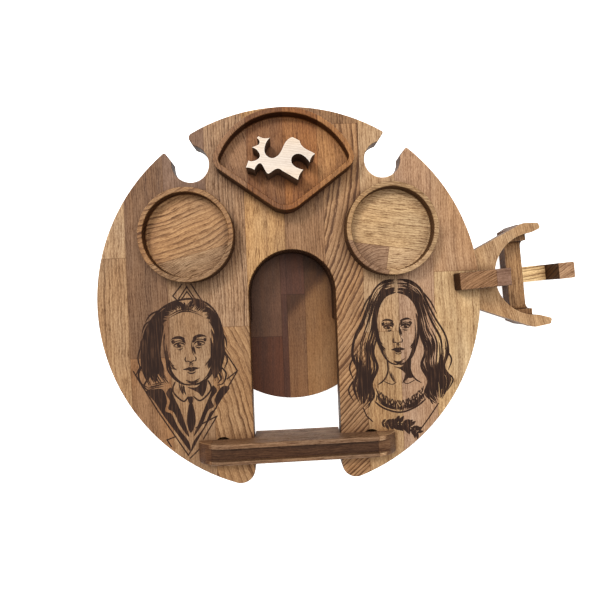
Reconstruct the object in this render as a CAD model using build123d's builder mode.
"""Round wooden drinks table: a slotted tabletop on a horseshoe spacer and a base disc, with loose dishes,
a lift-out gate bar, a clip-on side holder and a small notched wooden piece.

Frame: origin at the centre of the base disc's underside, +Z up, the slot opens towards -Y and the side
holder is clipped on near +X. Millimetres.
"""

import os
from math import cos, radians, sin

from build123d import *

# ---- driving dimensions -------------------------------------------------------------------------------------
BOARD = 18.0  # stock board that the tabletop, base and radial holder board are cut from
TOP_R = 200.0  # tabletop radius
TABLE_Y = 13.0  # tabletop axis, in front of which the base disc is set back
SPACER_H = 22.0
BASE_R = 100.0

SLOT_HALF = 45.5  # half width of the bottle slot, and the radius of its arched end
ARCH_Y = 6.2  # centre of the arched end, from the tabletop axis
FOOT_R = 15.0  # rounded inner corners of the two feet of the tabletop

NOTCH_ANGLE = 34.9  # stem notches, either side of +Y
NOTCH_REACH = 174.4  # their hole's centre, from the tabletop axis
NOTCH_R = 19.0
NOTCH_NECK = 28.0  # width of the mouth
NOTCH_LIP_R = 2.5  # rounding between mouth and hole
TIP_R = 2.0  # rounding of the points beside the mouths
BLUNT_TIP_R = 5.0  # the left mouth's inner point is blunter

SPACER_OUT_R = 78.0
SPACER_END_Y = -23.0  # where its legs stop, from the tabletop axis

DISH_H = 20.0
DISH_FLOOR = 8.0
ROUND_R = 47.0
ROUND_WALL = 5.0
ROUND_X = 103.3  # round dish centres, from the tabletop axis
ROUND_Y = 67.6
TRI_R = 75.5  # long curved side of the three-sided dish
TRI_WALL = 5.5
TRI_X = -3.5  # centre of that curve, from the tabletop axis
TRI_Y = 115.5
TRI_SLOPE = 36.2  # the two straight sides, from the X axis
TRI_POINT = -32.4  # where they would meet, from the curve's centre
TRI_SIDE_CORNER = 12.0
TRI_POINT_CORNER = 23.0
DISH_COVE = 2.0  # rounding round the floor of a dish

BAR_T = 21.0  # gate bar
BAR_Y = -153.2
BAR_HALF = 102.0
BAR_RISE = 17.0  # above the tabletop
BAR_END_DROP = 14.0  # how far the rounded ends come down
BAR_END_RUN = 26.0  # over this length
BAR_TONGUE = 22.0  # below the tabletop's upper face
BAR_GAP = 0.5  # between the tongue and the slot, each side
GROOVE_W = 13.0
GROOVE_DEPTH = 5.5
GROOVE_SHIFT = 0.3  # the groove is this far in front of the bar's middle
PEG_R = 7.0
PEG_X = 77.5
PEG_Y = -152.5
PEG_SOCKET = 8.0  # depth of its socket in the bar
PEG_DROP = 14.0  # below the bar's seat
PEG_CHAMFER = 1.5
PEG_HOLE_R = 10.0
PEG_HOLE_DEPTH = 15.0
PEG_HOLE_Y = -150.0

CLIP_ANGLE = 3.7  # side holder, anticlockwise from +X
CLIP_SLACK = 0.2  # between the holder and the tabletop
JAW_IN = 172.0  # all holder lengths are radii from the tabletop axis
JAW_RISE = 16.0
SPINE_OUT = 226.0
PRONG_IN = 299.5
PRONG_OUT = 317.5
PRONG_TOP = 40.5  # holder heights are above the surface that the table stands on
RAIL_TOP = 16.0
RAIL_BOTTOM = 3.0
CROSS_X = 262.7
CROSS_T = 19.0
CROSS_HALF = 57.5
CROSS_RECESS = 39.0  # half length of the low middle of the cross board
CROSS_RECESS_R = 6.0
CROSS_TRIM = 5.0  # cut off its inner corners, over twice this length
HOLDER_EASE = 2.0  # rounding of the holder's upright corners
JAW_EASE = 1.5
CRESCENT_T = 12.0
SEAT_X = 272.5  # centre and radius of the crescent's inner curve
SEAT_R = 46.0
CRESCENT_HORN = ((165, 15), (264, 57.5), (281, 56), (283.5, 50))  # outline of the horn on the +Y side
CRESCENT_LONG_HORN = ((165, -15), (266, -59.5), (285, -57.5), (287, -51))  # the other one is longer
CRESCENT_ROOT_R = 8.0
CRESCENT_HEEL_R = 12.0
CRESCENT_TIP_R = 2.5

SCREW_R = 2.0
SCREW_HEAD_R = 4.0
SCREW_HEAD_H = 2.3
DRIVE_L = 4.4  # cross recess in a screw's head
DRIVE_W = 1.0
DRIVE_DEPTH = 1.4
BASE_SCREW_L = 30.0
TOP_SCREW_L = 35.0
SCREW_FIT = 0.05  # radial clearance of screws and dowels in their holes
DOWEL_R = 3.0
DOWEL_DOWN = 10.8  # in the cross board
DOWEL_UP = 7.2  # in the crescent
DOWEL_Y = 49.0  # either side of the holder's axis
EASE = 1.2  # rounding of handled edges

# ---- derived places -----------------------------------------------------------------------------------------
SPACER_Z = BOARD
TOP_Z = SPACER_Z + SPACER_H  # tabletop underside
TABLE_TOP = TOP_Z + BOARD  # tabletop upper face
CRESCENT_Z = TOP_Z - CRESCENT_T
RING_R = (SLOT_HALF + SPACER_OUT_R) / 2  # screws sit on the middle of the horseshoe
BASE_SCREW_ANGLES = (5, 62, 118, 175)
TOP_SCREW_ANGLES = (33, 90, 147)
SIDES = (-1, 1)


def table_plane(x, y, z, turn=0.0):
    """Level plane at x, y from the tabletop axis and height z, turned about +Z."""
    return Plane(origin=(x, TABLE_Y + y, z)).rotated((0, 0, turn))


def holder_plane(height):
    """Level plane with its origin on the tabletop axis and its X axis along the side holder."""
    return table_plane(0, 0, height, CLIP_ANGLE)


def ring_points(angles):
    """Points on the middle of the horseshoe, from the tabletop axis."""
    return [(RING_R * cos(radians(a)), ARCH_Y + RING_R * sin(radians(a))) for a in angles]


def arch_sketch(length):
    """The bottle slot: straight sides with an arched end, running length towards -Y."""
    with BuildSketch(mode=Mode.PRIVATE) as arch:
        with Locations((0, ARCH_Y)):
            Circle(SLOT_HALF)
            Rectangle(2 * SLOT_HALF, length, align=(Align.CENTER, Align.MAX))
    return arch.sketch


def save(builder, name):
    """Label a finished piece and write its STEP file."""
    builder.part.label = name
    export_step(builder.part, f"parts/{name}.step")


def make_screws(points, z, length):
    """Countersunk wood screws with their heads down at height z, pointing up."""
    with BuildPart() as screws:
        for x, y in points:
            axis_plane = table_plane(x, y, z)
            profile_plane = Plane(axis_plane.origin, x_dir=(1, 0, 0), z_dir=(0, -1, 0))
            with BuildSketch(profile_plane):
                with BuildLine():
                    Polyline(
                        (0, 0),
                        (SCREW_HEAD_R, 0),
                        (SCREW_R, SCREW_HEAD_H),
                        (SCREW_R, length - 2 * SCREW_R),
                        (0, length),
                        close=True,
                    )
                make_face()
            revolve(axis=Axis(axis_plane.origin, (0, 0, 1)))
            with BuildSketch(axis_plane):
                Rectangle(DRIVE_L, DRIVE_W)
                Rectangle(DRIVE_W, DRIVE_L)
            extrude(amount=DRIVE_DEPTH, mode=Mode.SUBTRACT)
    return screws


def facing_down(points, z):
    """Locations at height z that look down, for holes drilled upwards from there."""
    return [Plane((x, TABLE_Y + y, z), z_dir=(0, 0, -1)).location for x, y in points]


def ease_level_edges(builder, amount, highest=True):
    """Round every edge of the builder's top or bottom face."""
    faces = builder.faces().filter_by(Axis.Z).sort_by(Axis.Z)
    face = faces[-1] if highest else faces[0]
    fillet(face.edges(), amount)


# ---- base disc ----------------------------------------------------------------------------------------------
os.makedirs("parts", exist_ok=True)
base_points = ring_points(BASE_SCREW_ANGLES)
top_points = ring_points(TOP_SCREW_ANGLES)

with BuildPart() as base_disc:
    with BuildSketch(Plane.XY):
        Circle(BASE_R)
    extrude(amount=BOARD)
    fillet(base_disc.edges().filter_by(GeomType.CIRCLE), EASE)
    with Locations(*facing_down(base_points, 0)):
        CounterSinkHole(SCREW_R + SCREW_FIT, SCREW_HEAD_R + SCREW_FIT, BOARD)
save(base_disc, "base_disc")

# ---- horseshoe spacer between base and tabletop, flush with the arched end of the slot ----------------------
with BuildPart() as horseshoe_spacer:
    with BuildSketch(table_plane(0, 0, SPACER_Z)):
        with Locations((0, ARCH_Y)):
            Circle(SPACER_OUT_R)
            Rectangle(2 * SPACER_OUT_R, ARCH_Y - SPACER_END_Y, align=(Align.CENTER, Align.MAX))
        with Locations((0, SPACER_END_Y)):
            Rectangle(2 * TOP_R, TOP_R, align=(Align.CENTER, Align.MAX), mode=Mode.SUBTRACT)
        add(arch_sketch(SPACER_OUT_R), mode=Mode.SUBTRACT)
    extrude(amount=SPACER_H)
    with Locations(*facing_down(base_points, SPACER_Z)):
        Hole(SCREW_R + SCREW_FIT, BASE_SCREW_L - SPACER_Z)
    with Locations(*facing_down(top_points, SPACER_Z)):
        CounterSinkHole(SCREW_R + SCREW_FIT, SCREW_HEAD_R + SCREW_FIT, SPACER_H)
save(horseshoe_spacer, "horseshoe_spacer")

base_screws = make_screws(base_points, 0, BASE_SCREW_L)
save(base_screws, "base_screws")
tabletop_screws = make_screws(top_points, SPACER_Z, TOP_SCREW_L)
save(tabletop_screws, "tabletop_screws")

# ---- tabletop: edge-glued round board with the slot, two stem notches and two blind peg holes ---------------
def notch_radius(vertex):
    """Distance of a point of the tabletop's outline from the nearer stem hole's centre."""
    turn = radians(NOTCH_ANGLE)
    centre = Vector(NOTCH_REACH * sin(turn), NOTCH_REACH * cos(turn))
    return (Vector(abs(vertex.X), vertex.Y) - centre).length


def is_notch_lip(vertex):
    """Where a mouth's straight side meets its hole."""
    return abs(notch_radius(vertex) - NOTCH_R) < 0.01


def is_notch_tip(vertex):
    """Where a mouth's straight side meets the rim."""
    return abs(Vector(vertex.X, vertex.Y).length - TOP_R) < 0.01 and vertex.Y > TOP_R / 2


def is_blunt_tip(vertex):
    """The point between the left mouth and the top of the table."""
    return is_notch_tip(vertex) and vertex.X < 0 and vertex.Y > NOTCH_REACH * cos(radians(NOTCH_ANGLE)) + NOTCH_R


with BuildPart() as tabletop:
    with BuildSketch(table_plane(0, 0, TOP_Z)) as top_outline:
        Circle(TOP_R)
        add(arch_sketch(2 * TOP_R), mode=Mode.SUBTRACT)
        for side in SIDES:
            lean = 90 - side * NOTCH_ANGLE
            hole_at = (NOTCH_REACH * cos(radians(lean)), NOTCH_REACH * sin(radians(lean)))
            with Locations(Location((*hole_at, 0), (0, 0, lean))):
                Circle(NOTCH_R, mode=Mode.SUBTRACT)
                Rectangle(TOP_R, NOTCH_NECK, align=(Align.MIN, Align.CENTER), mode=Mode.SUBTRACT)
        fillet(top_outline.vertices().group_by(Axis.Y)[0], FOOT_R)
        fillet(top_outline.vertices().filter_by(is_notch_lip), NOTCH_LIP_R)
        fillet(top_outline.vertices().filter_by(is_notch_tip).sort_by(is_blunt_tip)[:-1], TIP_R)
        fillet(top_outline.vertices().filter_by(is_blunt_tip), BLUNT_TIP_R)
    extrude(amount=BOARD)
    ease_level_edges(tabletop, EASE)
    ease_level_edges(tabletop, EASE, highest=False)
    with BuildSketch(table_plane(0, 0, TABLE_TOP)):
        with Locations(*[(side * PEG_X, PEG_HOLE_Y) for side in SIDES]):
            Circle(PEG_HOLE_R)
    extrude(amount=-PEG_HOLE_DEPTH, mode=Mode.SUBTRACT)
    with Locations(*facing_down(top_points, TOP_Z)):
        Hole(SCREW_R + SCREW_FIT, TOP_SCREW_L - SPACER_H)
save(tabletop, "tabletop")

# ---- dishes that stand loose on the tabletop ----------------------------------------------------------------
for name, side in (("left_dish", -1), ("right_dish", 1)):
    with BuildPart() as round_dish:
        with BuildSketch(table_plane(side * ROUND_X, ROUND_Y, TABLE_TOP)):
            Circle(ROUND_R)
        extrude(amount=DISH_H)
        with BuildSketch(table_plane(side * ROUND_X, ROUND_Y, TABLE_TOP + DISH_FLOOR)):
            Circle(ROUND_R - ROUND_WALL)
        extrude(amount=DISH_H, mode=Mode.SUBTRACT)
        rings = round_dish.edges().filter_by(GeomType.CIRCLE).group_by(Axis.Z)
        fillet(rings[-1] + rings[0], EASE)
        fillet(round_dish.faces().filter_by(Axis.Z).sort_by(Axis.Z)[1].edges(), DISH_COVE)
    save(round_dish, name)


def three_sided_sketch(inset):
    """Outline of the three-sided dish moved inwards by inset: one long curve and two straight sides."""
    end_x = TRI_R * cos(radians(TRI_CORNER_ANGLE))
    end_y = TRI_R * sin(radians(TRI_CORNER_ANGLE))
    with BuildSketch(mode=Mode.PRIVATE) as outline:
        with BuildLine():
            CenterArc((0, 0), TRI_R, TRI_CORNER_ANGLE, 180 - 2 * TRI_CORNER_ANGLE)
            Polyline((-end_x, end_y), (0, TRI_POINT), (end_x, end_y))
        make_face()
        by_height = outline.vertices().sort_by(Axis.Y)
        fillet(by_height[1:], TRI_SIDE_CORNER)
        fillet(outline.vertices().sort_by(lambda v: Vector(v.X, v.Y - TRI_POINT).length)[0], TRI_POINT_CORNER)
        if inset:
            offset(amount=-inset)
    return outline.sketch


# The curve and the straight sides meet where a line of TRI_SLOPE from the point reaches radius TRI_R.
slope = radians(TRI_SLOPE)
TRI_SIDE_LENGTH = -TRI_POINT * sin(slope) + (TRI_R**2 - (TRI_POINT * cos(slope)) ** 2) ** 0.5
TRI_CORNER_ANGLE = Vector(TRI_SIDE_LENGTH * cos(slope), TRI_POINT + TRI_SIDE_LENGTH * sin(slope)).get_angle(
    Vector(1, 0)
)

with BuildPart() as triangular_dish:
    with BuildSketch(table_plane(TRI_X, TRI_Y, TABLE_TOP)):
        add(three_sided_sketch(0))
    extrude(amount=DISH_H)
    with BuildSketch(table_plane(TRI_X, TRI_Y, TABLE_TOP + DISH_FLOOR)):
        add(three_sided_sketch(TRI_WALL))
    extrude(amount=DISH_H, mode=Mode.SUBTRACT)
    level_faces = triangular_dish.faces().filter_by(Axis.Z).sort_by(Axis.Z)
    fillet(level_faces[-1].edges() + level_faces[0].edges(), EASE)
    floor_face = triangular_dish.faces().filter_by(Axis.Z).sort_by(Axis.Z)[1]
    fillet(floor_face.edges(), DISH_COVE)
save(triangular_dish, "triangular_dish")

# ---- gate bar across the mouth of the slot, with a tongue in the slot and two pegs ---------------------------
front_plane = Plane((0, TABLE_Y + BAR_Y + BAR_T / 2, TABLE_TOP), x_dir=(1, 0, 0), z_dir=(0, -1, 0))
END_R = (BAR_END_RUN**2 + BAR_END_DROP**2) / (2 * BAR_END_DROP)  # curve tangent to the top of the bar
tongue_half = SLOT_HALF - BAR_GAP
with BuildPart() as gate_bar:
    with BuildSketch(front_plane):
        with BuildLine():
            flat_half = BAR_HALF - BAR_END_RUN
            end_z = BAR_RISE - BAR_END_DROP
            right_end = RadiusArc((flat_half, BAR_RISE), (BAR_HALF, end_z), END_R)
            left_end = RadiusArc((-BAR_HALF, end_z), (-flat_half, BAR_RISE), END_R)
            Line(left_end @ 1, right_end @ 0)
            Polyline(
                right_end @ 1,
                (BAR_HALF, 0),
                (tongue_half, 0),
                (tongue_half, -BAR_TONGUE),
                (-tongue_half, -BAR_TONGUE),
                (-tongue_half, 0),
                (-BAR_HALF, 0),
                left_end @ 0,
            )
        make_face()
    extrude(amount=BAR_T)
    fillet(gate_bar.faces().filter_by(Axis.Z).sort_by(Axis.Z)[-1].edges().filter_by(Axis.X), EASE)
    with BuildSketch(table_plane(0, BAR_Y - GROOVE_SHIFT, TABLE_TOP + BAR_RISE - GROOVE_DEPTH)):
        Rectangle(2 * BAR_HALF, GROOVE_W)
    extrude(amount=GROOVE_DEPTH, mode=Mode.SUBTRACT)
    for side in SIDES:
        with BuildSketch(table_plane(side * PEG_X, PEG_Y, TABLE_TOP)):
            Circle(PEG_R + SCREW_FIT)
        extrude(amount=PEG_SOCKET, mode=Mode.SUBTRACT)
save(gate_bar, "gate_bar")

for name, side in (("gate_peg_left", -1), ("gate_peg_right", 1)):
    with BuildPart() as gate_peg:
        with BuildSketch(table_plane(side * PEG_X, PEG_Y, TABLE_TOP - PEG_DROP)):
            Circle(PEG_R)
        extrude(amount=PEG_DROP + PEG_SOCKET)
        chamfer(gate_peg.edges().group_by(Axis.Z)[0], PEG_CHAMFER)
    save(gate_peg, name)

# ---- side holder: radial board, cross board and crescent plate -----------------------------------------------
upright = holder_plane(0)
radial_plane = Plane(
    upright.origin + upright.y_dir * (BOARD / 2), x_dir=upright.x_dir, z_dir=upright.y_dir * -1
)
spine_in = TOP_R + CLIP_SLACK
lap_z = (RAIL_TOP + RAIL_BOTTOM) / 2
cross_in = CROSS_X - CROSS_T / 2
dowel_points = [(CROSS_X, side * DOWEL_Y) for side in SIDES]

with BuildPart() as holder_radial_board:
    with BuildSketch(radial_plane):
        with BuildLine():
            Polyline(
                (JAW_IN, TABLE_TOP + CLIP_SLACK),
                (JAW_IN, TABLE_TOP + JAW_RISE),
                (SPINE_OUT, TABLE_TOP + JAW_RISE),
                (SPINE_OUT, RAIL_TOP),
                (cross_in, RAIL_TOP),
                (cross_in, lap_z),
                (cross_in + CROSS_T, lap_z),
                (cross_in + CROSS_T, RAIL_TOP),
                (PRONG_IN, RAIL_TOP),
                (PRONG_IN, PRONG_TOP),
                (PRONG_OUT, PRONG_TOP),
                (PRONG_OUT, RAIL_BOTTOM),
                (spine_in, RAIL_BOTTOM),
                (spine_in, TABLE_TOP + CLIP_SLACK),
                close=True,
            )
        make_face()
    extrude(amount=BOARD)
    upright_edges = holder_radial_board.edges().filter_by(Axis.Z)
    outer = upright_edges.filter_by(
        lambda e: (Vector((e @ 0.5).X, (e @ 0.5).Y - TABLE_Y).length > PRONG_OUT - 1)
        or Vector((e @ 0.5).X, (e @ 0.5).Y - TABLE_Y).length < JAW_IN + HOLDER_EASE
    )
    fillet(outer, HOLDER_EASE)
    fillet(holder_radial_board.faces().filter_by(Axis.Z).sort_by(Axis.Z)[-1].edges(), JAW_EASE)
save(holder_radial_board, "holder_radial_board")

cross_plane = Plane(
    upright.origin + upright.x_dir * cross_in, x_dir=upright.y_dir, z_dir=upright.x_dir
)
with BuildPart() as holder_cross_board:
    with BuildSketch(cross_plane) as cross_outline:
        with Locations((0, (RAIL_BOTTOM + CRESCENT_Z) / 2)):
            Rectangle(2 * CROSS_HALF, CRESCENT_Z - RAIL_BOTTOM)
        with Locations((0, RAIL_TOP)):
            Rectangle(2 * CROSS_RECESS, CRESCENT_Z, align=(Align.CENTER, Align.MIN), mode=Mode.SUBTRACT)
    extrude(amount=CROSS_T)
    recess_corners = holder_cross_board.edges().filter_by(
        lambda e: e.geom_type == GeomType.LINE
        and abs((e @ 0.5).Z - RAIL_TOP) < 0.01
        and abs(abs(upright.to_local_coords(e @ 0.5).Y) - CROSS_RECESS) < 0.01
    )
    fillet(recess_corners, CROSS_RECESS_R)
    with BuildSketch(holder_plane(RAIL_BOTTOM)):
        with Locations((CROSS_X, 0)):
            Rectangle(CROSS_T, BOARD)
    extrude(amount=lap_z - RAIL_BOTTOM, mode=Mode.SUBTRACT)
    with BuildSketch(holder_plane(0)):
        for side in SIDES:
            with BuildLine():
                Polyline(
                    (cross_in, side * (CROSS_HALF - CROSS_TRIM)),
                    (cross_in + 2 * CROSS_TRIM, side * CROSS_HALF),
                    (cross_in, side * CROSS_HALF),
                    close=True,
                )
            make_face()
    extrude(amount=CRESCENT_Z, mode=Mode.SUBTRACT)
    with BuildSketch(holder_plane(CRESCENT_Z - DOWEL_DOWN)):
        with Locations(*dowel_points):
            Circle(DOWEL_R + SCREW_FIT)
    extrude(amount=DOWEL_DOWN, mode=Mode.SUBTRACT)
save(holder_cross_board, "holder_cross_board")

with BuildPart() as holder_crescent:
    with BuildSketch(holder_plane(CRESCENT_Z)) as crescent_outline:
        with BuildLine():
            Polyline(
                *CRESCENT_HORN,
                (SEAT_X, SEAT_R),
                (SEAT_X, -SEAT_R),
                *reversed(CRESCENT_LONG_HORN),
                close=True,
            )
        make_face()
        with Locations((SEAT_X, 0)):
            Circle(SEAT_R, mode=Mode.SUBTRACT)
        with Locations((spine_in, 0)):
            Rectangle(SEAT_R, BOARD, align=(Align.MIN, Align.CENTER), mode=Mode.SUBTRACT)
        for place, radius in enumerate((CRESCENT_ROOT_R, CRESCENT_HEEL_R, CRESCENT_TIP_R, CRESCENT_TIP_R)):
            for horn in (CRESCENT_HORN, CRESCENT_LONG_HORN):
                corner = crescent_outline.vertices().sort_by_distance((*horn[place], 0))[0]
                fillet(corner, radius)
    extrude(amount=CRESCENT_T - CLIP_SLACK)
    with BuildSketch(holder_plane(CRESCENT_Z)):
        with Locations(*dowel_points):
            Circle(DOWEL_R + SCREW_FIT)
    extrude(amount=DOWEL_UP, mode=Mode.SUBTRACT)
save(holder_crescent, "holder_crescent")

with BuildPart() as holder_dowels:
    with BuildSketch(holder_plane(CRESCENT_Z - DOWEL_DOWN)):
        with Locations(*dowel_points):
            Circle(DOWEL_R)
    extrude(amount=DOWEL_DOWN + DOWEL_UP)
save(holder_dowels, "holder_dowels")

# ---- notched piece lying in the three-sided dish -------------------------------------------------------------
# Each stretch runs on from the last: two points make a straight edge, more make a smooth curve.
PIECE_STRETCHES = (
    ((-20.5, 17), (-15, 15), (-9.5, 15.5)),
    ((-9.5, 15.5), (-14.5, 8), (-14.5, 0), (-8.5, -4.2), (-1.5, -1), (3.5, 7.5), (12.5, 15.5)),
    ((12.5, 15.5), (19, 12)),
    ((19, 12), (22.5, 5.5), (27, 2.5), (33.5, -1)),
    ((33.5, -1), (30, -4), (28, -9)),
    ((28, -9), (23, -3), (17, -0.5), (11.5, -3), (10.5, -9), (14.5, -13.5), (21.5, -16)),
    ((21.5, -16), (18.5, -19.5), (16, -25.5)),
    ((16, -25.5), (0.5, -16)),
    ((0.5, -16), (-3.5, -14.3), (-7.5, -16), (-12.5, -19)),
    ((-12.5, -19), (-16, -14), (-20, -8.7), (-23.5, -11), (-25.5, -15)),
    ((-25.5, -15), (-28.5, -13.3), (-33.5, -12.5)),
    ((-33.5, -12.5), (-32, -9), (-31, -6)),
    ((-31, -6), (-24, -6), (-19.8, -2), (-21.5, 3), (-27, 6.5)),
    ((-27, 6.5), (-20.5, 9)),
    ((-20.5, 9), (-19.5, 12), (-22, 15.5)),
    ((-22, 15.5), (-20.5, 17)),
)
PIECE_T = 22.0
PIECE_X = -7.0  # from the tabletop axis
PIECE_Y = 141.0

with BuildPart() as notched_piece:
    with BuildSketch(table_plane(PIECE_X, PIECE_Y, TABLE_TOP + DISH_FLOOR)):
        with BuildLine():
            for stretch in PIECE_STRETCHES:
                if len(stretch) == 2:
                    Line(*stretch)
                else:
                    Spline(*stretch)
        make_face()
    extrude(amount=PIECE_T)
save(notched_piece, "notched_piece")
